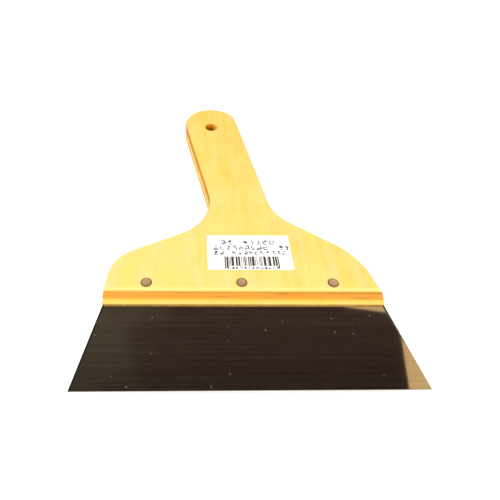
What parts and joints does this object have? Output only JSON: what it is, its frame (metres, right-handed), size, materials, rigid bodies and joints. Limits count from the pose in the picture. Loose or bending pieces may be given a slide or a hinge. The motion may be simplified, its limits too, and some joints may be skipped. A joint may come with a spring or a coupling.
{
  "type": "drywall taping knife",
  "caption": "Wide flat taping knife: thin tapered steel blade riveted into the bevelled front of a T-shaped plywood handle whose rounded grip leans slightly and has a hanging hole.",
  "frame": {"origin": "middle of the bounding box in plan, at the back face of the handle, which the tool rests on", "axes": "+Y from the blade's working edge to the end of the grip; +Z out of the labelled front face; +X to the right seen from the front with the grip up"},
  "size_m": [0.15, 0.2072, 0.0126],
  "materials": {
    "face_veneer": "clear lacquer, satin",
    "cross_ply": "sanded edge, satin lacquer",
    "core_ply": "sanded edge, satin lacquer",
    "blade_steel": "fine cross-brushed, near mirror",
    "rivet_metal": "satin",
    "label_paper": null
  },
  "bodies": {
    "root": {"ply_back_veneer": "face_veneer", "ply_back_cross": "cross_ply", "ply_core": "core_ply", "ply_front_cross": "cross_ply", "ply_front_veneer": "face_veneer", "blade": "blade_steel", "rivet_left": "rivet_metal", "rivet_middle": "rivet_metal", "rivet_right": "rivet_metal", "burr_left": "rivet_metal", "burr_middle": "rivet_metal", "burr_right": "rivet_metal", "price_label": "label_paper"}
  },
  "joints": []
}
